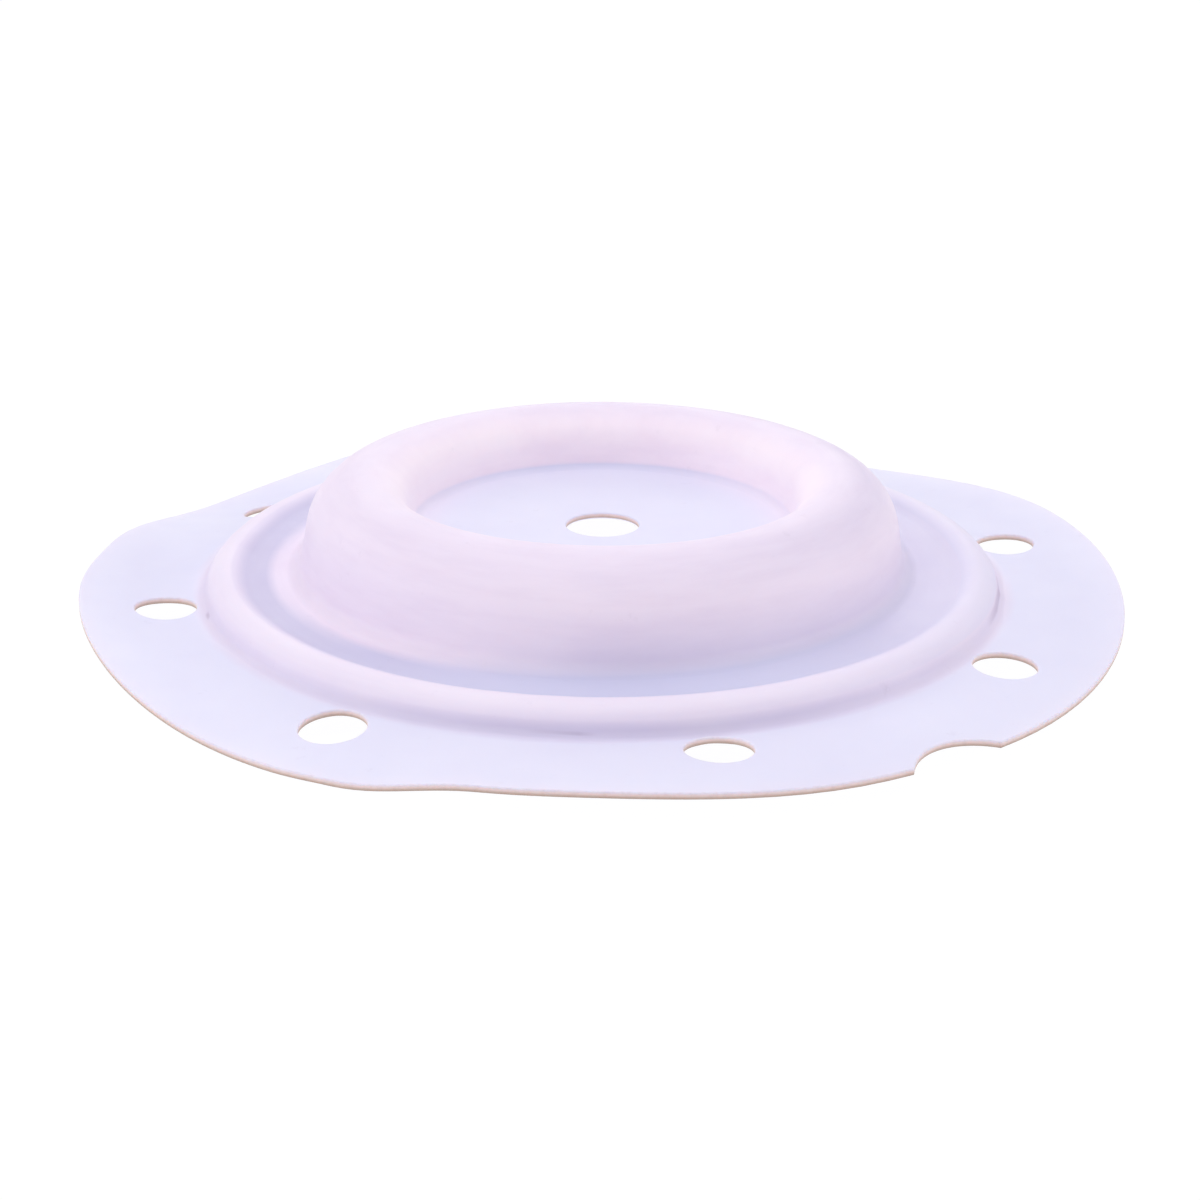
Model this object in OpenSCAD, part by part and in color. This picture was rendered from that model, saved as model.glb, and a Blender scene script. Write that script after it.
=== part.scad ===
// Moulded diaphragm of an air-operated pump: one sheet with a bolted flange, a bead, a domed fold and a hub.
// Heights are given above the upper face of the flange where it meets the bead. The whole part then stands
// on the lowest point of its wavy flange, with the axis at the origin and the dome upwards.

/* [Sheet] */
// Thickness of the moulded sheet
sheet_t = 1.2; // [0.8:0.1:1.6]

/* [Flange] */
// Outer diameter of the flange
flange_d = 190; // [170:0.5:220]
// Distance of the bolt circle from the edge
bolt_margin = 15; // [12:0.25:20]
// Diameter of one bolt hole
bolt_hole_d = 11; // [6:0.5:12]
// Number of bolt holes
bolt_count = 8; // [4:1:10]
// Bearing of the first bolt hole in degrees
bolt_start = 13; // [0:1:44]
// Radius of the round notch in the edge
notch_r = 13.2; // [8:0.2:16]
// Depth of the notch, from the edge inwards
notch_depth = 4.2; // [2:0.2:6]
// Bearing of the notch in degrees, midway between two bolt holes
notch_at = 305.5; // [0:0.5:359.5]

/* [Waviness of the flange] */
// Share of the waviness that the used part shows, 0 for a flat flange
wave = 1; // [0:0.05:1.1]
// Bearings of four places round the back of the flange, in degrees
back_at = [18, 61, 103, 147]; // [0:0.5:165]
// Lift of the edge at those places, below zero where it droops
back_edge = [2.15, -3, 1.8, -3.1]; // [-5:0.05:5]
// Lift of the bolt circle at those places
back_bolt = [0.1, -0.9, 0, -1.7]; // [-2:0.05:2]
// Bearings of four places round the left of the flange, in degrees
left_at = [172, 192, 238, 244.5]; // [165.5:0.5:250]
// Lift of the edge at those places, below zero where it droops
left_edge = [1.45, 2.9, -1.45, -1.2]; // [-5:0.05:5]
// Lift of the bolt circle at those places
left_bolt = [-0.45, 0, -0.6, -0.5]; // [-2:0.05:2]
// Bearings of four places round the front of the flange, in degrees
front_at = [259, 266, 297, 320]; // [250.5:0.5:359.5]
// Lift of the edge at those places, below zero where it droops
front_edge = [1.5, 1.55, -0.55, -1.2]; // [-5:0.05:5]
// Lift of the bolt circle at those places
front_bolt = [0.35, 0.75, 0.4, -0.2]; // [-2:0.05:2]

/* [Bead] */
// Distance of the bead's crest from the bolt circle
bead_inset = 11.2; // [11:0.1:13]
// Height of the bead's crest
bead_h = 4.7; // [4.5:0.1:5.5]
// Rounding across the bead's crest
bead_round = 4; // [3:0.1:4.5]
// Slope of the bead's inner side in degrees
bead_in_slope = 26; // [22:1:30]
// Slope of the bead's outer side in degrees
bead_out_slope = 70; // [60:1:75]
// Fillet where the bead's inner side leaves the valley
bead_fillet = 5; // [3:0.25:6]
// Fillet where the bead's outer side meets the flange
foot_fillet = 2; // [1:0.25:2.5]
// Height of the valley between bead and dome
valley_h = 3.3; // [2.9:0.1:3.4]

/* [Dome] */
// Distance of the dome's crest from the bead's crest
crest_inset = 25.4; // [24.6:0.2:28]
// Height of the dome's crest
crest_h = 20.7; // [19.5:0.1:23]
// Rounding on the inner side of the crest
crest_in_round = 8; // [5:0.25:8.5]
// Rounding on the outer side of the crest
crest_out_round = 11; // [9:0.25:12]
// Slope of the wall inside the crest in degrees
wall_in_slope = 80; // [65:1:84]
// Slope of the wall outside the crest in degrees
wall_out_slope = 80; // [72:1:84]
// Fillet at the foot of the outer wall
base_fillet = 3; // [2:0.25:5]

/* [Hub] */
// Height of the recessed hub floor
hub_h = 10; // [8:0.25:11]
// Fillet round the hub floor
hub_fillet = 2; // [1:0.25:3]
// Diameter of the hole for the pump's stud
hub_hole_d = 13.5; // [8:0.5:24]

/* [Hidden] */

// Radii of the edge, the bolt circle and the two crests, from the edge inwards
flange_r = flange_d / 2;
bolt_r = flange_r - bolt_margin;
bead_r = bolt_r - bead_inset;
crest_r = bead_r - crest_inset;

// A direction in the section that leans from straight up by an angle, towards the edge of the part
function lean(angle) = [sin(angle), cos(angle)];
straight_down = 180;

// Points along an arc of the section between two leans, close enough together to look round
arc_step = 5;
function arc(c, r, from, to) =
    let (n = ceil(abs(to - from) / arc_step))
    [for (i = [0:n]) c + r * lean(from + (to - from) * i / n)];

// Centres of the roundings, and the radii at which the flat rings end
crest_in_c = [crest_r, crest_h - crest_in_round];
crest_out_c = [crest_r, crest_h - crest_out_round];
bead_c = [bead_r, bead_h - bead_round];
wall_in_top = crest_in_c + crest_in_round * lean(-wall_in_slope);
wall_in_fall = wall_in_top.y - hub_h - hub_fillet * (1 - cos(wall_in_slope));
hub_c = [
    wall_in_top.x - wall_in_fall / tan(wall_in_slope) - hub_fillet * sin(wall_in_slope),
    hub_h + hub_fillet
];
wall_out_top = crest_out_c + crest_out_round * lean(wall_out_slope);
wall_out_fall = wall_out_top.y - valley_h - base_fillet * (1 - cos(wall_out_slope));
base_c = [
    wall_out_top.x + wall_out_fall / tan(wall_out_slope) + base_fillet * sin(wall_out_slope),
    valley_h + base_fillet
];
bead_in_top = bead_c + bead_round * lean(-bead_in_slope);
bead_in_fall = bead_in_top.y - valley_h - bead_fillet * (1 - cos(bead_in_slope));
bead_fillet_c = [
    bead_in_top.x - bead_in_fall / tan(bead_in_slope) - bead_fillet * sin(bead_in_slope),
    valley_h + bead_fillet
];
bead_out_top = bead_c + bead_round * lean(bead_out_slope);
bead_out_fall = bead_out_top.y - foot_fillet * (1 - cos(bead_out_slope));
foot_c = [
    bead_out_top.x + bead_out_fall / tan(bead_out_slope) + foot_fillet * sin(bead_out_slope),
    foot_fillet
];

// Slope in degrees at which the foot's fillet ends and runs straight into the flange
foot_slope = 25;

// Radius at which the end of the foot, moved inwards by a depth, reaches a height
function foot_r(depth, height) =
    let (end = foot_c + (foot_fillet + depth) * lean(straight_down + foot_slope))
    end.x + (end.y - height) / tan(foot_slope);

// The flange leaves its plane where the foot's fillet would touch it
bend_r = foot_c.x;
hollow_depth = 10;

// All places of the wavy flange in the order of their bearings, each with its lift at the bolts and at the edge
lobes = [
    for (i = [0:3]) [back_at[i], back_bolt[i], back_edge[i]],
    for (i = [0:3]) [left_at[i], left_bolt[i], left_edge[i]],
    for (i = [0:3]) [front_at[i], front_bolt[i], front_edge[i]]
];
AT_BOLTS = 1;
AT_EDGE = 2;

// A lobe by its number, counted on past a full turn either way
function lobe(i) =
    let (turn = floor(i / len(lobes)))
    lobes[i - turn * len(lobes)] + [360 * turn, 0, 0];

// Lift between two lobes, eased as a half wave
function lobe_lift(bearing, place) =
    let (
        last = max([for (i = [-1:len(lobes) - 1]) if (lobe(i)[0] <= bearing) i]),
        a = lobe(last),
        b = lobe(last + 1),
        share = (1 - cos(180 * (bearing - a[0]) / (b[0] - a[0]))) / 2
    )
    a[place] + (b[place] - a[place]) * share;

// Lift of the flange at a radius and bearing: a parabola from the bend through the bolt circle to the edge
function flange_lift(r, bearing) =
    let (
        out = max(0, r - bend_r) / (flange_r - bend_r),
        bolt_out = (bolt_r - bend_r) / (flange_r - bend_r),
        edge = lobe_lift(bearing, AT_EDGE),
        curl = (lobe_lift(bearing, AT_BOLTS) - edge * bolt_out) / (bolt_out * bolt_out - bolt_out)
    )
    wave * ((edge - curl) * out + curl * out * out);

// Grid of the wavy flange, from under the bead to a little past the trimmed edge
spare = 2;
bearing_step = 3;
ring_steps = 8;
bearings = [for (bearing = [0:bearing_step:359]) bearing];
ring_span = flange_r + spare - bend_r;
rings = [bead_r, for (i = [0:ring_steps]) bend_r + ring_span * i / ring_steps];

// Height of the flange's upper face above the surface that the part stands on
lowest = min([for (r = rings, bearing = bearings) flange_lift(min(r, flange_r), bearing)]);
stand_h = sheet_t - lowest;

// Everything in the half section that lies deeper than a depth below the moulded upper face
module section_below(depth, floor_z) {
    polygon([
        [0, floor_z],
        [0, hub_h - depth],
        each arc(hub_c, hub_fillet + depth, straight_down, straight_down - wall_in_slope),
        each arc(crest_in_c, crest_in_round - depth, -wall_in_slope, 0),
        each arc(crest_out_c, crest_out_round - depth, arc_step, wall_out_slope),
        each arc(base_c, base_fillet + depth, straight_down + wall_out_slope, straight_down),
        each arc(bead_fillet_c, bead_fillet + depth, straight_down, straight_down - bead_in_slope),
        each arc(bead_c, bead_round - depth, -bead_in_slope, bead_out_slope),
        each arc(foot_c, foot_fillet + depth, straight_down + bead_out_slope, straight_down + foot_slope),
        [foot_r(depth, floor_z), floor_z]
    ]);
}

// Wavy sheet of the flange before its edge is trimmed
module flange_sheet() {
    n = len(bearings);
    m = len(rings);
    function top(i, k) = i * n + k % n;
    function under(i, k) = m * n + top(i, k);
    points = [
        for (face = [0, sheet_t], r = rings, bearing = bearings)
            [r * cos(bearing), r * sin(bearing), flange_lift(r, bearing) - face]
    ];
    faces = [
        for (k = [0:n - 1]) each [
            for (i = [0:m - 2]) each [
                [top(i, k), top(i, k + 1), top(i + 1, k)],
                [top(i, k + 1), top(i + 1, k + 1), top(i + 1, k)],
                [under(i, k), under(i + 1, k), under(i, k + 1)],
                [under(i, k + 1), under(i + 1, k), under(i + 1, k + 1)]
            ],
            [top(0, k), under(0, k), top(0, k + 1)],
            [top(0, k + 1), under(0, k), under(0, k + 1)],
            [top(m - 1, k), top(m - 1, k + 1), under(m - 1, k)],
            [top(m - 1, k + 1), under(m - 1, k + 1), under(m - 1, k)]
        ]
    ];
    polyhedron(points, faces);
}

// Upright cutter through the whole flange
module flange_cut(r, at_r, bearing) {
    rotate(bearing)
        translate([at_r, 0, -hollow_depth])
            cylinder(r = r, h = 2 * hollow_depth, $fn = 96);
}

module diaphragm() {
    color("lavender")
        translate([0, 0, stand_h])
            difference() {
                union() {
                    rotate_extrude($fn = 180) section_below(0, -sheet_t / 2);
                    intersection() {
                        flange_sheet();
                        flange_cut(flange_r, 0, 0);
                    }
                }
                rotate_extrude($fn = 180) section_below(sheet_t, -hollow_depth);
                cylinder(d = hub_hole_d, h = 2 * crest_h, $fn = 96);
                for (i = [0:bolt_count - 1])
                    flange_cut(bolt_hole_d / 2, bolt_r, bolt_start + 360 * i / bolt_count);
                flange_cut(notch_r, flange_r - notch_depth + notch_r, notch_at);
            }
}

diaphragm();
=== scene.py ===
import math

import bmesh
import bpy
from mathutils import Matrix, Vector


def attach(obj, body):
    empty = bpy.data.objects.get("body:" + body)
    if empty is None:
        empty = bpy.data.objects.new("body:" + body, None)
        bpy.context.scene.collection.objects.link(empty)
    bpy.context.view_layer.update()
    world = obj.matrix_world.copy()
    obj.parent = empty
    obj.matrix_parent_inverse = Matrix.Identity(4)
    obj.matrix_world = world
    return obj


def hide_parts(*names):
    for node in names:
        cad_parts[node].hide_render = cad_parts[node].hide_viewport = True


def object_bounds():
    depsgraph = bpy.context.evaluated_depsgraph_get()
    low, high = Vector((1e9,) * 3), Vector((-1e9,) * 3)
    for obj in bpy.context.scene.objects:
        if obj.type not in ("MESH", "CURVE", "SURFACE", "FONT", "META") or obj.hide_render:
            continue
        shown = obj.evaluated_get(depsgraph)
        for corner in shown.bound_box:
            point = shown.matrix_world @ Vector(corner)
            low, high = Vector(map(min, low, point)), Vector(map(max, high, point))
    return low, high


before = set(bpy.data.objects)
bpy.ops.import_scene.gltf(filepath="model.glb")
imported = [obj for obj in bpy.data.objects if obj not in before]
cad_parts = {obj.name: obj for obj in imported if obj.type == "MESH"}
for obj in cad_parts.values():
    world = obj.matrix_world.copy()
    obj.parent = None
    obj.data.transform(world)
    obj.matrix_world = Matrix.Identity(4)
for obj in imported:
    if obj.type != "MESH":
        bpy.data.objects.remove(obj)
cad_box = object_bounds()

# Sizes of the part in millimetres, as in its source
SHEET_T = 1.2
FLANGE_R = 95.0
BOLT_R = 80.0
BOLT_HOLE_R = 5.5
BOLT_COUNT = 8
BOLT_START = 13.0
NOTCH_R = 13.2
NOTCH_DEPTH = 4.2
NOTCH_AT = 305.5
BEAD_R = 68.8
BEAD_H = 4.7
BEAD_ROUND = 4.0
BEAD_IN_SLOPE = 26.0
BEAD_OUT_SLOPE = 70.0
BEAD_FILLET = 5.0
FOOT_FILLET = 2.0
VALLEY_H = 3.3
CREST_R = 43.4
CREST_H = 20.7
CREST_IN_ROUND = 8.0
CREST_OUT_ROUND = 11.0
WALL_IN_SLOPE = 80.0
WALL_OUT_SLOPE = 80.0
BASE_FILLET = 3.0
HUB_H = 10.0
HUB_FILLET = 2.0
HUB_HOLE_R = 6.75

# Places of the wavy flange: bearing, lift at the bolt circle, lift at the edge
LOBES = [
    (18.0, 0.1, 2.15),
    (61.0, -0.9, -3.0),
    (103.0, 0.0, 1.8),
    (147.0, -1.7, -3.1),
    (172.0, -0.45, 1.45),
    (192.0, 0.0, 2.9),
    (238.0, -0.6, -1.45),
    (244.5, -0.5, -1.2),
    (259.0, 0.35, 1.5),
    (266.0, 0.75, 1.55),
    (297.0, 0.4, -0.55),
    (320.0, -0.2, -1.2),
]

MM = 0.001
SECTOR = 360.0 / BOLT_COUNT

# Degrees between the points of an arc on the upper face and on the underside
ARC_STEP = 4.0
UNDER_ARC_STEP = 8.0
# Length of the steps along a straight wall, in millimetres for each degree of the arc step
WALL_STEP = 0.6
# Small rounding at cut edges, and the place of its middle point as a share of it
RIM_ROUND = 0.22
RIM_KNEE = 0.29
# Points of such a rounding from the face to the wall: share of it along the face, share of it down the wall
RIM_STEPS = [(1.0, 0.0), (RIM_KNEE, RIM_KNEE), (0.0, 1.0)]
# Width of the narrow ring next to the stud hole's rounding, in roundings
RIM_RING = 4
# Slope at which the dome's section ends on the fillet at the bead's foot, and the flange takes over
FOOT_END = 22.0
# Points along the inner and outer border of a sector, along its sides and along half the notch
COLUMNS = 40
SIDE_STEPS = 10
NOTCH_STEPS = 14
# Share of the columns' spacing that follows even rays from the bolt hole, the rest being even bearings
RAY_SHARE = 0.65
# Rings between the bolt hole and its sector's border, as shares of the way
RINGS = [0.0, 0.02, 0.06, 0.13, 0.23, 0.35, 0.48, 0.62, 0.76, 0.89, 1.0]
# Points nearer than this are one point, in metres
WELD = 2e-7
# Places in a row of LOBES
AT_BOLTS = 1
AT_EDGE = 2


def sind(angle):
    return math.sin(math.radians(angle))


def cosd(angle):
    return math.cos(math.radians(angle))


def tand(angle):
    return math.tan(math.radians(angle))


def arc(centre, radius, start, end, step):
    """Points of the section along an arc between two leans from straight up."""
    n = max(1, math.ceil(abs(end - start) / step))
    leans = [start + (end - start) * i / n for i in range(n + 1)]
    return [(centre[0] + radius * sind(a), centre[1] + radius * cosd(a)) for a in leans]


def line(a, b, n):
    """Points between two points of the section, without its ends."""
    return [(a[0] + (b[0] - a[0]) * i / n, a[1] + (b[1] - a[1]) * i / n) for i in range(1, n)]


# Centres of the roundings of the section
crest_in_c = (CREST_R, CREST_H - CREST_IN_ROUND)
crest_out_c = (CREST_R, CREST_H - CREST_OUT_ROUND)
bead_c = (BEAD_R, BEAD_H - BEAD_ROUND)


def fillet_centre(top_c, radius, slope, level, fillet, outward):
    """Centre of the fillet between a level ring and the straight wall that runs up to a rounding."""
    x = top_c[0] + outward * radius * sind(slope)
    fall = top_c[1] + radius * cosd(slope) - level - fillet * (1 - cosd(slope))
    return (x + outward * (fall / tand(slope) + fillet * sind(slope)), level + fillet)


hub_c = fillet_centre(crest_in_c, CREST_IN_ROUND, WALL_IN_SLOPE, HUB_H, HUB_FILLET, -1)
base_c = fillet_centre(crest_out_c, CREST_OUT_ROUND, WALL_OUT_SLOPE, VALLEY_H, BASE_FILLET, 1)
bead_fillet_c = fillet_centre(bead_c, BEAD_ROUND, BEAD_IN_SLOPE, VALLEY_H, BEAD_FILLET, -1)
foot_c = fillet_centre(bead_c, BEAD_ROUND, BEAD_OUT_SLOPE, 0.0, FOOT_FILLET, 1)
bend_r = foot_c[0]


def lobe_lift(bearing, place):
    """Lift between two lobes, eased as a half wave."""
    first = (LOBES[0][0] + 360,) + LOBES[0][1:]
    last = (LOBES[-1][0] - 360,) + LOBES[-1][1:]
    chain = [last] + LOBES + [first]
    bearing = bearing % 360
    for a, b in zip(chain, chain[1:]):
        if a[0] <= bearing <= b[0]:
            share = (1 - cosd(180 * (bearing - a[0]) / (b[0] - a[0]))) / 2
            return a[place] + (b[place] - a[place]) * share


def flange_lift(r, bearing):
    """Lift of the flange: a parabola from the bend through the bolt circle to the edge."""
    out = max(0.0, r - bend_r) / (FLANGE_R - bend_r)
    bolt_out = (BOLT_R - bend_r) / (FLANGE_R - bend_r)
    edge = lobe_lift(bearing, AT_EDGE)
    curl = (lobe_lift(bearing, AT_BOLTS) - edge * bolt_out) / (bolt_out * bolt_out - bolt_out)
    return (edge - curl) * out + curl * out * out


# The part stands on its lowest point, so the frame's height gives the flange's
STAND_H = cad_box[1][2] / MM - CREST_H


def foot_r(depth):
    """Radius at which the dome's section ends on the fillet at the bead's foot."""
    return foot_c[0] - (FOOT_FILLET + depth) * sind(FOOT_END)


def flange_top(r, bearing, depth):
    """Height of the flange on its upper face or underside, with the end of the bead's foot."""
    short = max(0.0, foot_c[0] - r)
    toe = foot_c[1] - math.sqrt((FOOT_FILLET + depth) ** 2 - short**2)
    return toe + flange_lift(r, bearing)


def dome_profile(depth):
    """Section of one face of the sheet from the stud hole out to the bead's foot."""
    up = 1 if depth == 0 else -1
    level = HUB_H - depth
    step = ARC_STEP if depth == 0 else UNDER_ARC_STEP
    rim = [
        (HUB_HOLE_R, level - up * RIM_ROUND),
        (HUB_HOLE_R + RIM_KNEE * RIM_ROUND, level - up * RIM_KNEE * RIM_ROUND),
        (HUB_HOLE_R + RIM_ROUND, level),
        (HUB_HOLE_R + RIM_RING * RIM_ROUND, level),
    ]
    runs = [
        rim,
        arc(hub_c, HUB_FILLET + depth, 180, 180 - WALL_IN_SLOPE, step),
        arc(crest_in_c, CREST_IN_ROUND - depth, -WALL_IN_SLOPE, 0, step),
        arc(crest_out_c, CREST_OUT_ROUND - depth, 0, WALL_OUT_SLOPE, step)[1:],
        arc(base_c, BASE_FILLET + depth, 180 + WALL_OUT_SLOPE, 180, step),
        arc(bead_fillet_c, BEAD_FILLET + depth, 180, 180 - BEAD_IN_SLOPE, step),
        arc(bead_c, BEAD_ROUND - depth, -BEAD_IN_SLOPE, BEAD_OUT_SLOPE, step),
        arc(foot_c, FOOT_FILLET + depth, 180 + BEAD_OUT_SLOPE, 180 + FOOT_END, step),
    ]
    points = list(runs[0])
    for run in runs[1:]:
        a, b = points[-1], run[0]
        gap = math.hypot(b[0] - a[0], b[1] - a[1])
        points += line(a, b, max(1, math.ceil(gap / (WALL_STEP * step))))
        points += run
    return points


def sector_columns():
    """Bearings within a sector, closer together where the bolt hole comes near the bead."""
    near = foot_r(0.0)
    span = math.atan2(near * sind(SECTOR / 2), BOLT_R - near * cosd(SECTOR / 2))
    columns = []
    for i in range(COLUMNS + 1):
        u = 2 * i / COLUMNS - 1
        t = math.tan(span * u)
        # Bearing at which a ray from the hole's centre at that angle meets the bead's foot
        a, b, c = 1 + t * t, -2 * BOLT_R * t * t, BOLT_R * BOLT_R * t * t - near * near
        x = (-b + math.sqrt(max(b * b - 4 * a * c, 0))) / (2 * a)
        even_ray = math.degrees(math.atan2(t * (BOLT_R - x), x))
        columns.append(RAY_SHARE * even_ray + (1 - RAY_SHARE) * u * SECTOR / 2)
    columns[0], columns[-1] = -SECTOR / 2, SECTOR / 2
    return columns


def at(r, bearing, z):
    """A point by its radius, bearing and height."""
    return Vector((r * cosd(bearing), r * sind(bearing), z))


notch_c_r = FLANGE_R - NOTCH_DEPTH + NOTCH_R
notch_half = math.degrees(
    math.acos((FLANGE_R**2 + notch_c_r**2 - NOTCH_R**2) / (2 * FLANGE_R * notch_c_r))
)


def edge_half(middle, far):
    """Half of a sector's edge, from its middle to a side at a bearing: places and outward directions."""
    turn = (far - NOTCH_AT + 180) % 360 - 180
    n = COLUMNS // 2
    # Only the two sectors that meet at the notch have half of it in their edge
    if abs(turn) > 0.01:
        bearings = [middle + (far - middle) * i / n for i in range(n + 1)]
        return [(at(FLANGE_R, b, 0), at(1, b, 0)) for b in bearings]
    side = math.copysign(1, middle - far)
    plain = n - NOTCH_STEPS
    corner = far + side * notch_half
    bearings = [middle + (corner - middle) * i / plain for i in range(plain)]
    points = [(at(FLANGE_R, b, 0), at(1, b, 0)) for b in bearings]
    centre = at(notch_c_r, NOTCH_AT, 0)
    start = at(FLANGE_R, corner, 0) - centre
    a0 = math.atan2(start.y, start.x)
    deepest = -centre
    a1 = math.atan2(deepest.y, deepest.x)
    swing = (a1 - a0 + math.pi) % (2 * math.pi) - math.pi
    for i in range(NOTCH_STEPS + 1):
        a = a0 + swing * i / NOTCH_STEPS
        spoke = Vector((math.cos(a), math.sin(a), 0))
        outward = -spoke
        if i == 0:
            # At the corner the rounding keeps its distance from both the edge and the notch
            both = outward + at(1, corner, 0)
            outward = both.normalized() / max(0.5, both.length / 2)
        points.append((centre + NOTCH_R * spoke, outward))
    return points


builder = bmesh.new()
SHEET, CUT = 0, 1


def add_strip(rows, closed, material, flip=False):
    """Quads between neighbouring rows of points."""
    verts = [[builder.verts.new(p * MM + Vector((0, 0, STAND_H * MM))) for p in row] for row in rows]
    n = len(rows[0])
    for a, b in zip(verts, verts[1:]):
        for i in range(n if closed else n - 1):
            j = (i + 1) % n
            quad = [a[i], a[j], b[j], b[i]]
            if flip:
                quad.reverse()
            face = builder.faces.new(quad)
            face.material_index = material
            face.smooth = True


def lifted(p, depth, drop=0.0):
    """A point of the plan put on the flange's upper face or underside."""
    r = math.hypot(p.x, p.y)
    bearing = math.degrees(math.atan2(p.y, p.x))
    return Vector((p.x, p.y, flange_top(r, bearing, depth) + drop))


def wall_rows(upper, under):
    """Rows of points down a cut wall, from places on the wall and the directions that it faces."""
    rows = []
    for share, drop in RIM_STEPS:
        rows.append([lifted(p - share * RIM_ROUND * v, 0.0, -drop * RIM_ROUND) for p, v in upper])
    for share, rise in reversed(RIM_STEPS):
        rows.append([lifted(p - share * RIM_ROUND * v, SHEET_T, rise * RIM_ROUND) for p, v in under])
    return rows


# Dome, valley and bead: the section carried round
columns = sector_columns()
bearings = []
for k in range(BOLT_COUNT):
    bearings += [BOLT_START + SECTOR * k + c for c in columns[:-1]]
for depth in (0.0, SHEET_T):
    profile = dome_profile(depth)
    rows = []
    for bearing in bearings:
        rows.append([at(r, bearing, z) for r, z in profile])
    rows.append(rows[0])
    add_strip(rows, False, SHEET, flip=depth > 0)
# Wall of the stud hole
wall_ends = (HUB_H - RIM_ROUND, HUB_H - SHEET_T + RIM_ROUND)
add_strip([[at(HUB_HOLE_R, b, z) for b in bearings] for z in wall_ends], True, CUT)

# Flange: one sector around each bolt hole, with rings from the hole out to the sector's border
for k in range(BOLT_COUNT):
    middle = BOLT_START + SECTOR * k
    hole = at(BOLT_R, middle, 0)
    left, right = middle - SECTOR / 2, middle + SECTOR / 2
    edge = edge_half(middle, left)[::-1] + edge_half(middle, right)[1:]
    inset = [p - RIM_ROUND * outward for p, outward in edge]
    borders = {}
    for depth in (0.0, SHEET_T):
        inner = [at(foot_r(depth), middle + c, 0) for c in columns]
        right_side = [inner[-1].lerp(inset[-1], i / SIDE_STEPS) for i in range(1, SIDE_STEPS)]
        left_side = [inset[0].lerp(inner[0], i / SIDE_STEPS) for i in range(1, SIDE_STEPS)]
        # Both neighbouring sectors have the same points along the side that they share
        border = inner + right_side + inset[::-1] + left_side
        rows = []
        for share in RINGS:
            row = []
            for p in border:
                ray = (p - hole).normalized()
                start = hole + (BOLT_HOLE_R + RIM_ROUND) * ray
                row.append(lifted(start.lerp(p, share), depth))
            rows.append(row)
        add_strip(rows, True, SHEET, flip=depth > 0)
        borders[depth] = border
    # Wall of the bolt hole, with its rims rounded: points on the wall and directions into the hole
    hole_walls = {}
    for depth, border in borders.items():
        rays = [(p - hole).normalized() for p in border]
        hole_walls[depth] = [(hole + BOLT_HOLE_R * ray, -ray) for ray in rays]
    add_strip(wall_rows(hole_walls[0.0], hole_walls[SHEET_T]), True, CUT, flip=True)
    # Outer edge and notch, with their rims rounded
    add_strip(wall_rows(edge, edge), False, CUT)

bmesh.ops.remove_doubles(builder, verts=builder.verts, dist=WELD)
bmesh.ops.recalc_face_normals(builder, faces=builder.faces)
skin_mesh = bpy.data.meshes.new("diaphragm_skin")
builder.to_mesh(skin_mesh)
builder.free()

# Normals weighted by face area, so that the narrow rims don't tint the wide faces next to them
normals = [Vector() for _ in skin_mesh.vertices]
for polygon in skin_mesh.polygons:
    for v in polygon.vertices:
        normals[v] += polygon.normal * polygon.area
skin_mesh.normals_split_custom_set_from_vertices([n.normalized() for n in normals])
skin = bpy.data.objects.new("diaphragm_skin", skin_mesh)
bpy.context.scene.collection.objects.link(skin)


# Tones by radius, as columns: radius; how far the sheet was drawn out, with painted light in the pinker
# tone of lit slopes; painted glow, lighter where the sheet was thinned and light comes through; painted
# shade, darker by how much a place lies in a hollow
FORMING = [
    (0.0, 0.0, 0.0, 0.1),
    (31.0, 0.0, 0.0, 0.1),
    (33.0, 0.0, 0.0, 0.15),
    (34.7, 0.0, 0.0, 0.35),
    (35.15, 1.0, 1.0, 0.0),
    (37.5, 1.0, 0.9, 0.0),
    (40.5, 1.0, 0.2, 0.0),
    (42.5, 1.0, 0.0, 0.0),
    (50.0, 1.0, 0.0, 0.0),
    (52.0, 1.0, 0.12, 0.0),
    (53.5, 1.0, 0.35, 0.0),
    (54.3, 0.95, 0.45, 0.15),
    (55.3, 0.7, 0.25, 0.5),
    (57.0, 0.2, 0.0, 1.0),
    (58.2, 0.0, 0.0, 0.95),
    (63.0, 0.0, 0.0, 0.95),
    (65.0, 0.0, 0.0, 0.9),
    (66.2, 0.2, 0.0, 0.65),
    (67.3, 0.5, 0.12, 0.15),
    (68.3, 0.65, 0.25, 0.0),
    (71.5, 0.65, 0.2, 0.0),
    (72.3, 0.75, 0.05, 0.0),
    (72.9, 0.8, 0.0, 0.85),
    (73.6, 0.8, 0.0, 1.0),
    (74.2, 0.6, 0.0, 0.65),
    (74.8, 0.2, 0.0, 0.2),
    (75.4, 0.0, 0.0, 0.1),
    (77.0, 0.0, 0.0, 0.15),
    (87.0, 0.0, 0.0, 0.15),
    (92.0, 0.0, 0.0, 0.0),
    (95.0, 0.0, 0.15, 0.0),
    (120.0, 0.0, 0.15, 0.0),
]


def forming(r, place):
    """Value of the forming table at a radius."""
    for a, b in zip(FORMING, FORMING[1:]):
        if a[0] <= r <= b[0]:
            return a[place] + (b[place] - a[place]) * (r - a[0]) / (b[0] - a[0])


# Painted shade of small creases and a nick on the bead's outer side: bearing, half width in degrees,
# radius, half width, strength
CREASE_SHADE_MARKS = [
    (348.0, 11.0, 72.75, 0.35, 0.8),
    (264.5, 4.0, 73.2, 0.25, 0.8),
    (198.4, 1.2, 73.3, 0.35, 0.6),
]


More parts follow.
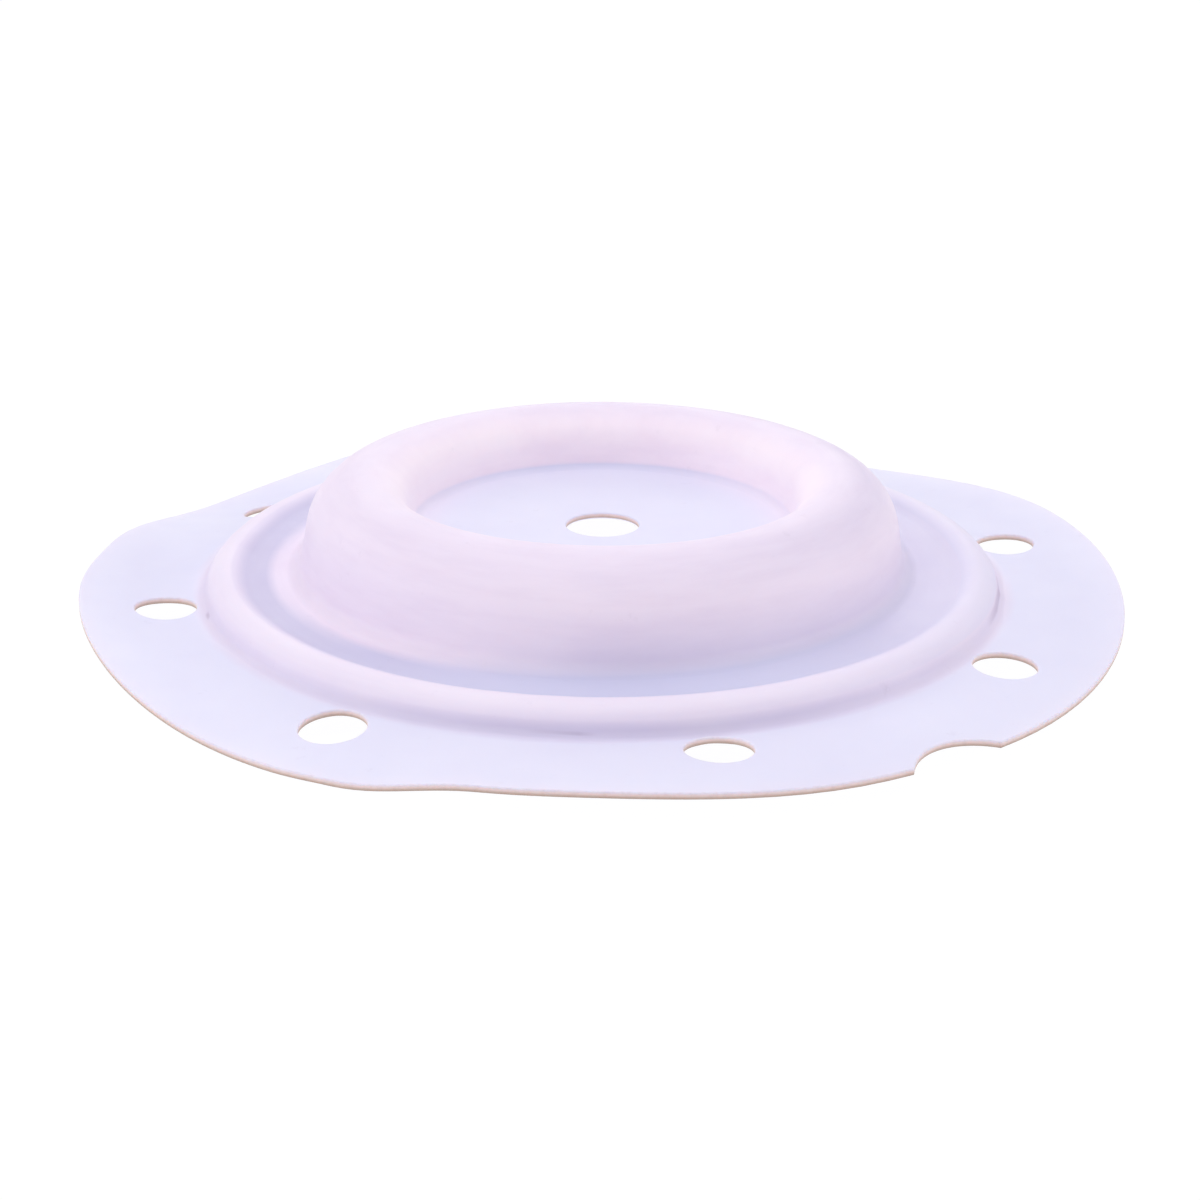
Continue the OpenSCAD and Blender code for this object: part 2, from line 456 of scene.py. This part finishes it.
def painted_crease_shade(r, bearing):
    """Strength of the painted crease shade at a place."""
    most = 0.0
    for at_bearing, half, at_r, half_r, strength in CREASE_SHADE_MARKS:
        turn = abs((bearing - at_bearing + 180) % 360 - 180) / half
        away = abs(r - at_r) / half_r
        if turn < 1 and away < 1:
            most = max(most, strength * (1 - turn * turn) * (1 - away * away))
    return most


# Rings in which the tones also change with the bearing, as painted light and shade that differ from side to
# side: inner and outer radius
HUB_SIDE = (27.5, 35.15)
DOME_SIDE = (43.4, 53.5)
VALLEY = (52.0, 65.9)
VALLEY_SIDE = (52.0, 68.0)
VALLEY_AND_BEAD = (52.0, 71.0)
BEAD_TOP = (66.0, 72.3)
BEAD_FOOT = (71.0, 75.4)
# Bearing at which the painted light and shade of the left are strongest, and how far the drawn and lit tone
# reaches out there
LEFT_AT = 190.0
LEFT_REACH = 6.0
# Strength of the painted hollow shade, and what the right takes from it and the left adds to it in the
# valley
PAINTED_SHADE_STRENGTH = 0.8
VALLEY_RIGHT = 0.32
VALLEY_LEFT = 0.2
# Least strength of it outside the bead's crest, and what is added there at the front or at the two sides
OUTER_LEAST = 0.15
OUTER_MORE = 0.65
# Strength of the drawn and lit tone and of the painted glow at the two ends of the hub floor
HUB_RIGHT = 0.6
HUB_LEFT = 0.5
HUB_GLOW = 0.8
# Least strength of the drawn and lit tone in the valley, and what the painted glow loses at the left
VALLEY_LIT_TONE_LEFT = 0.75
VALLEY_LIT_TONE_RIGHT = 0.55
VALLEY_GLOW_LOSS = 0.8
# What the bead's drawn and lit tone and painted glow lose at the right, and its least painted hollow shade
# and the dome's there
BEAD_LIT_TONE_LOSS = 0.4
BEAD_GLOW_LOSS = 0.8
BEAD_PAINTED_SHADE = 0.12
DOME_PAINTED_SHADE = 0.3


def inside(r, ring):
    return ring[0] < r < ring[1]


def across(r, ring):
    """Share of the way across a ring."""
    return (r - ring[0]) / (ring[1] - ring[0])


def painted_shade_by_bearing(r, bearing, left, right):
    """Strength of the painted hollow shade by the bearing."""
    if inside(r, BEAD_FOOT):
        return OUTER_LEAST + OUTER_MORE * max(0.0, -sind(bearing)) ** 3
    if r > BEAD_FOOT[1]:
        return OUTER_LEAST + OUTER_MORE * cosd(bearing) ** 2
    if inside(r, VALLEY_AND_BEAD):
        return PAINTED_SHADE_STRENGTH - VALLEY_RIGHT * right + VALLEY_LEFT * left
    return PAINTED_SHADE_STRENGTH


def tones(r, bearing):
    """Shares of the drawn and lit tone, the painted glow and the painted hollow shade at a place."""
    left = max(0.0, cosd(bearing - LEFT_AT)) ** 2
    right = max(0.0, cosd(bearing)) ** 2
    place = r
    if inside(r, VALLEY):
        place -= LEFT_REACH * left * sind(180 * across(r, VALLEY))
    drawn_lit_share = forming(place, 1)
    glow_share = forming(place, 2)
    shade_share = painted_shade_by_bearing(r, bearing, left, right) * forming(place, 3)
    if inside(r, HUB_SIDE):
        side = max(HUB_RIGHT * right, HUB_LEFT * left)
        way = across(r, HUB_SIDE)
        drawn_lit_share = max(drawn_lit_share, side * way**1.5)
        glow_share = max(glow_share, HUB_GLOW * side * way * way)
        shade_share *= 1 - side
    if inside(r, VALLEY_SIDE):
        drawn_lit_share = max(drawn_lit_share, VALLEY_LIT_TONE_LEFT * left, VALLEY_LIT_TONE_RIGHT * right)
        glow_share *= 1 - VALLEY_GLOW_LOSS * left
    if inside(r, BEAD_TOP):
        drawn_lit_share *= 1 - BEAD_LIT_TONE_LOSS * right
        glow_share *= 1 - BEAD_GLOW_LOSS * right
        shade_share = max(shade_share, BEAD_PAINTED_SHADE * right)
    if inside(r, DOME_SIDE):
        shade_share = max(shade_share, DOME_PAINTED_SHADE * right * sind(180 * across(r, DOME_SIDE)))
    return drawn_lit_share, glow_share, shade_share


# Values at every point of the mesh, for the materials: tones with painted light and shade, painted crease
# shade, depth below the upper face and streaks
HUB_REACH = 30
STREAK_TURN = 3.5
STREAK_RUN = 0.3
values_by_name = {"drawn_and_lit_tone": [], "painted_glow": [], "painted_hollow_shade": [], "depth_in_sheet": [], "painted_crease_shade": []}
streak = []
for vertex in skin_mesh.vertices:
    x, y, z = vertex.co / MM
    r = math.hypot(x, y)
    bearing = math.degrees(math.atan2(y, x))
    level = HUB_H if r < HUB_REACH else flange_lift(r, bearing)
    depth_share = (level + STAND_H - z) / SHEET_T
    row = (*tones(r, bearing), depth_share, painted_crease_shade(r, bearing))
    for values, value in zip(values_by_name.values(), row):
        values.append(value)
    # Streaks run round the axis, so their noise changes faster along the section than round it
    streak += [STREAK_TURN * x / r, STREAK_TURN * y / r, STREAK_RUN * (r - z)]
for name, values in values_by_name.items():
    skin_mesh.attributes.new(name, "FLOAT", "POINT").data.foreach_set("value", values)
skin_mesh.attributes.new("streak", "FLOAT_VECTOR", "POINT").data.foreach_set("vector", streak)


def new_material(name):
    """A new material and its shader."""
    material = bpy.data.materials.new(name)
    material.use_nodes = True
    return material, material.node_tree.nodes["Principled BSDF"]


def add_node(material, kind, **values):
    """A node with its input values set by name."""
    made = material.node_tree.nodes.new(kind)
    for key, value in values.items():
        made.inputs[key].default_value = value
    return made


def join(material, source, target):
    material.node_tree.links.new(source, target)


def noise(material, scale, detail, roughness=0.5):
    """Noise over the surface in the part's own frame, with its scale in features per metre."""
    place = add_node(material, "ShaderNodeTexCoord")
    made = add_node(material, "ShaderNodeTexNoise", Scale=scale, Detail=detail, Roughness=roughness)
    join(material, place.outputs["Object"], made.inputs["Vector"])
    return made.outputs["Fac"]


def attribute(material, name):
    """A value that the mesh holds at every point."""
    made = add_node(material, "ShaderNodeAttribute")
    made.attribute_name = name
    return made.outputs["Fac"]


def spread(material, source, low, high, out_low=0.0, out_high=1.0):
    """A value stretched from one range to another and held within it."""
    made = add_node(material, "ShaderNodeMapRange")
    for key, value in (("From Min", low), ("From Max", high), ("To Min", out_low), ("To Max", out_high)):
        made.inputs[key].default_value = value
    join(material, source, made.inputs["Value"])
    return made.outputs["Result"]


def mixed(material, share, a, b, blend="MIX"):
    """Two colours mixed by a share over the surface."""
    made = material.node_tree.nodes.new("ShaderNodeMix")
    made.data_type = "RGBA"
    made.blend_type = blend
    join(material, share, made.inputs[0])
    for value, socket in ((a, made.inputs[6]), (b, made.inputs[7])):
        if isinstance(value, tuple):
            socket.default_value = (*value, 1)
        else:
            join(material, value, socket)
    return made.outputs[2]


def bumps(material, height, strength, distance, below=None):
    """Normals of a fine relief, on top of another one if there is one."""
    made = add_node(material, "ShaderNodeBump", Strength=strength, Distance=distance)
    join(material, height, made.inputs["Height"])
    if below:
        join(material, below, made.inputs["Normal"])
    return made.outputs["Normal"]


def waxy(shader, weight, radius, scale):
    """Refraction of a fluoropolymer, and light that goes a little way into it."""
    shader.inputs["IOR"].default_value = SHEET_IOR
    shader.inputs["Subsurface Weight"].default_value = weight
    shader.inputs["Subsurface Radius"].default_value = radius
    shader.inputs["Subsurface Scale"].default_value = scale


SHEET_IOR = 1.36
# Scales of the noises in features per metre
CLOUD_SCALE = 30
UNEVEN_SCALE = 90
GLOSS_SCALE = 140
MARK_SCALE = 210
GRAIN_SCALE = 1900
CUT_GLOSS_SCALE = 600
FIBRE_SCALE = 900
CUT_GRAIN_SCALE = 1500
# Ranges of the noises over which a tone comes in
CLOUD_RANGE = (0.35, 0.7)
STREAK_RANGE = (0.42, 0.7)
MARK_RANGE = (0.64, 0.78)
FIBRE_RANGE = (0.45, 0.7)
GLOSS_RANGE = (0.3, 0.7)
# Lowest and highest roughness of the faces and of the cut edges
FACE_ROUGHNESS = (0.40, 0.56)
CUT_ROUGHNESS = (0.5, 0.7)
# Strength and height in metres of the reliefs
GRAIN_BUMP = (0.12, 0.00008)
UNEVEN_BUMP = (0.25, 0.0003)
CUT_BUMP = (0.3, 0.0001)

# Moulded sheet: cool white where it stayed flat, warmer where it was drawn out with painted light in the
# pinker tone of lit slopes, lighter with painted glow, darker with painted shade in hollows, creases and a
# nick
FLAT_WHITE = (0.785, 0.77, 0.945)
DRAWN_AND_LIT_WHITE = (0.85, 0.755, 0.905)
PAINTED_GLOW_WHITE = (1.0, 0.88, 0.98)
PAINTED_HOLLOW_SHADE = (0.73, 0.75, 0.84)
CLOUD_SHADE = (0.965, 0.96, 0.975)
STREAK_SHADE = (0.965, 0.955, 0.97)
CREASE_SHADE_COLOUR = (0.66, 0.60, 0.66)
MARK_SHADE = (0.93, 0.92, 0.93)
sheet_material, sheet_shader = new_material("sheet_surface")
# Drawn tone, partly painted light: pinker on the lit slopes, bluer on the flats
colour = mixed(sheet_material, attribute(sheet_material, "drawn_and_lit_tone"), FLAT_WHITE, DRAWN_AND_LIT_WHITE)
# Painted glow: lighter where light comes through the thinned sheet
colour = mixed(sheet_material, attribute(sheet_material, "painted_glow"), colour, PAINTED_GLOW_WHITE)
# Painted shade: darker in the hollows, at the crease of the hub floor and at the bead's foot
colour = mixed(sheet_material, attribute(sheet_material, "painted_hollow_shade"), colour, PAINTED_HOLLOW_SHADE, "MULTIPLY")
clouds = spread(sheet_material, noise(sheet_material, CLOUD_SCALE, 3), *CLOUD_RANGE)
colour = mixed(sheet_material, clouds, colour, CLOUD_SHADE, "MULTIPLY")
streak_place = add_node(sheet_material, "ShaderNodeAttribute")
streak_place.attribute_name = "streak"
streak_noise = add_node(sheet_material, "ShaderNodeTexNoise", Scale=1.0, Detail=4.0, Roughness=0.6)
join(sheet_material, streak_place.outputs["Vector"], streak_noise.inputs["Vector"])
streaks = add_node(sheet_material, "ShaderNodeMath")
streaks.operation = "MULTIPLY"
join(sheet_material, spread(sheet_material, streak_noise.outputs["Fac"], *STREAK_RANGE), streaks.inputs[0])
join(sheet_material, attribute(sheet_material, "drawn_and_lit_tone"), streaks.inputs[1])
colour = mixed(sheet_material, streaks.outputs[0], colour, STREAK_SHADE, "MULTIPLY")
# Painted shade of the creases and the nick on the bead
colour = mixed(sheet_material, attribute(sheet_material, "painted_crease_shade"), colour, CREASE_SHADE_COLOUR, "MULTIPLY")
marks = spread(sheet_material, noise(sheet_material, MARK_SCALE, 5, 0.7), *MARK_RANGE)
colour = mixed(sheet_material, marks, colour, MARK_SHADE, "MULTIPLY")
join(sheet_material, colour, sheet_shader.inputs["Base Color"])
gloss = spread(sheet_material, noise(sheet_material, GLOSS_SCALE, 4), *GLOSS_RANGE, *FACE_ROUGHNESS)
join(sheet_material, gloss, sheet_shader.inputs["Roughness"])
grain = bumps(sheet_material, noise(sheet_material, GRAIN_SCALE, 3, 0.6), *GRAIN_BUMP)
relief = bumps(sheet_material, noise(sheet_material, UNEVEN_SCALE, 2), *UNEVEN_BUMP, below=grain)
join(sheet_material, relief, sheet_shader.inputs["Normal"])
waxy(sheet_shader, 0.25, (1.0, 0.8, 0.75), 0.0007)

# Cut edges: as the sheet at the top, then peach as a painted glow where light comes through, then brown and
# a dark line towards the underside as painted shade at the lower rim
CUT_TOP = (0.80, 0.76, 0.92)
CUT_GLOW_PEACH = (0.80, 0.65, 0.65)
CUT_SHADE_BROWN = (0.55, 0.42, 0.37)
CUT_SHADE_LINE = (0.31, 0.235, 0.21)
CUT_SHADE = (0.93, 0.91, 0.90)
# Depths in the sheet between which each colour comes in, as shares of its thickness
PEACH_DEPTH = (0.08, 0.4)
BROWN_DEPTH = (0.45, 0.75)
LINE_DEPTH = (0.78, 0.93)
cut_material, cut_shader = new_material("cut_edge")
cut_depth = attribute(cut_material, "depth_in_sheet")
colour = mixed(cut_material, spread(cut_material, cut_depth, *PEACH_DEPTH), CUT_TOP, CUT_GLOW_PEACH)
colour = mixed(cut_material, spread(cut_material, cut_depth, *BROWN_DEPTH), colour, CUT_SHADE_BROWN)
colour = mixed(cut_material, spread(cut_material, cut_depth, *LINE_DEPTH), colour, CUT_SHADE_LINE)
fibres = spread(cut_material, noise(cut_material, FIBRE_SCALE, 4, 0.7), *FIBRE_RANGE)
colour = mixed(cut_material, fibres, colour, CUT_SHADE, "MULTIPLY")
join(cut_material, colour, cut_shader.inputs["Base Color"])
gloss = spread(cut_material, noise(cut_material, CUT_GLOSS_SCALE, 3), *GLOSS_RANGE, *CUT_ROUGHNESS)
join(cut_material, gloss, cut_shader.inputs["Roughness"])
relief = bumps(cut_material, noise(cut_material, CUT_GRAIN_SCALE, 3, 0.6), *CUT_BUMP)
join(cut_material, relief, cut_shader.inputs["Normal"])
waxy(cut_shader, 0.35, (1.0, 0.6, 0.45), 0.0008)
skin_mesh.materials.append(sheet_material)
skin_mesh.materials.append(cut_material)
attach(skin, "root")
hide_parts("diaphragm")

# Camera at the photograph's viewing angle
FRAME_PX = 1200
SENSOR_MM = 36.0
FOCAL_PX = 2203.5
CAMERA_DISTANCE = 0.4104
CAMERA_ELEVATION = 20.27
CAMERA_ROLL = 0.237
AXIS_AT_PX = (602.3, 575.0)
forward = Vector((0, cosd(CAMERA_ELEVATION), -sind(CAMERA_ELEVATION)))
eye = Vector((0, 0, STAND_H * MM)) - CAMERA_DISTANCE * forward
level_up = Vector((0, sind(CAMERA_ELEVATION), cosd(CAMERA_ELEVATION)))
level_right = Vector((1, 0, 0))
image_right = cosd(CAMERA_ROLL) * level_right + sind(CAMERA_ROLL) * level_up
image_up = cosd(CAMERA_ROLL) * level_up - sind(CAMERA_ROLL) * level_right
# The axis shows above the middle of the frame, so the camera aims a little below it
aim = FOCAL_PX * forward
aim += (FRAME_PX / 2 - AXIS_AT_PX[0]) * image_right
aim += (AXIS_AT_PX[1] - FRAME_PX / 2) * image_up
back = -aim.normalized()
right_axis = image_up.cross(back).normalized()
up_axis = back.cross(right_axis)
camera_data = bpy.data.cameras.new("camera")
camera_data.sensor_width = SENSOR_MM
camera_data.lens = SENSOR_MM * FOCAL_PX / FRAME_PX
camera_data.clip_start = 0.01
camera = bpy.data.objects.new("camera", camera_data)
camera.matrix_world = Matrix.Translation(eye) @ Matrix((right_axis, up_axis, back)).transposed().to_4x4()
bpy.context.scene.collection.objects.link(camera)
bpy.context.scene.camera = camera

# White floor with a low rim far away, just below the part. It glows, as in the photo it has no shadow
FLOOR_REACH = 8.0
FLOOR_RIM = 0.4
FLOOR_DROP = 0.0001
FLOOR_COLOUR = (0.08, 0.08, 0.08)
FLOOR_GLOW = (0.94, 0.94, 0.94)
FLOOR_ROUGHNESS = 0.9
corners = [(-FLOOR_REACH, -FLOOR_REACH), (FLOOR_REACH, -FLOOR_REACH)]
corners += [(FLOOR_REACH, FLOOR_REACH), (-FLOOR_REACH, FLOOR_REACH)]
floor_points = [(x, y, 0) for x, y in corners] + [(x, y, FLOOR_RIM) for x, y in corners]
floor_faces = [(0, 1, 2, 3)] + [(i, i + 4, (i + 1) % 4 + 4, (i + 1) % 4) for i in range(4)]
floor_mesh = bpy.data.meshes.new("floor")
floor_mesh.from_pydata(floor_points, [], floor_faces)
floor = bpy.data.objects.new("floor", floor_mesh)
floor.location.z = -FLOOR_DROP
bpy.context.scene.collection.objects.link(floor)
floor_material, floor_shader = new_material("floor_white")
floor_shader.inputs["Base Color"].default_value = (*FLOOR_COLOUR, 1)
floor_shader.inputs["Roughness"].default_value = FLOOR_ROUGHNESS
floor_shader.inputs["Specular IOR Level"].default_value = 0.0
floor_shader.inputs["Emission Color"].default_value = (*FLOOR_GLOW, 1)
floor_shader.inputs["Emission Strength"].default_value = 1.0
floor_mesh.materials.append(floor_material)

# Soft studio light: name, place, width and power of each lamp, all facing the part
LIGHTS = [
    ("top", (0.0, 0.1, 1.0), 1.2, 5.0),
    ("back", (0.0, 1.2, 0.6), 0.8, 2.3),
    ("front_left", (-0.8, -0.8, 0.6), 0.8, 1.4),
    ("left", (-1.2, -0.2, 0.3), 0.6, 2.6),
    ("right", (1.2, -0.2, 0.3), 0.6, 2.4),
]
WORLD_COLOUR = (1, 1, 1)
WORLD_STRENGTH = 0.56
world = bpy.data.worlds.new("studio")
bpy.context.scene.world = world
world.use_nodes = True
sky = world.node_tree.nodes["Background"]
sky.inputs["Color"].default_value = (*WORLD_COLOUR, 1)
sky.inputs["Strength"].default_value = WORLD_STRENGTH
for name, place, width, watts in LIGHTS:
    lamp_data = bpy.data.lights.new(name, "AREA")
    lamp_data.size = width
    lamp_data.energy = watts
    lamp = bpy.data.objects.new(name, lamp_data)
    facing = (-Vector(place)).to_track_quat("-Z", "Y").to_matrix().to_4x4()
    lamp.matrix_world = Matrix.Translation(place) @ facing
    bpy.context.scene.collection.objects.link(lamp)

bpy.context.scene.view_settings.view_transform = "Standard"
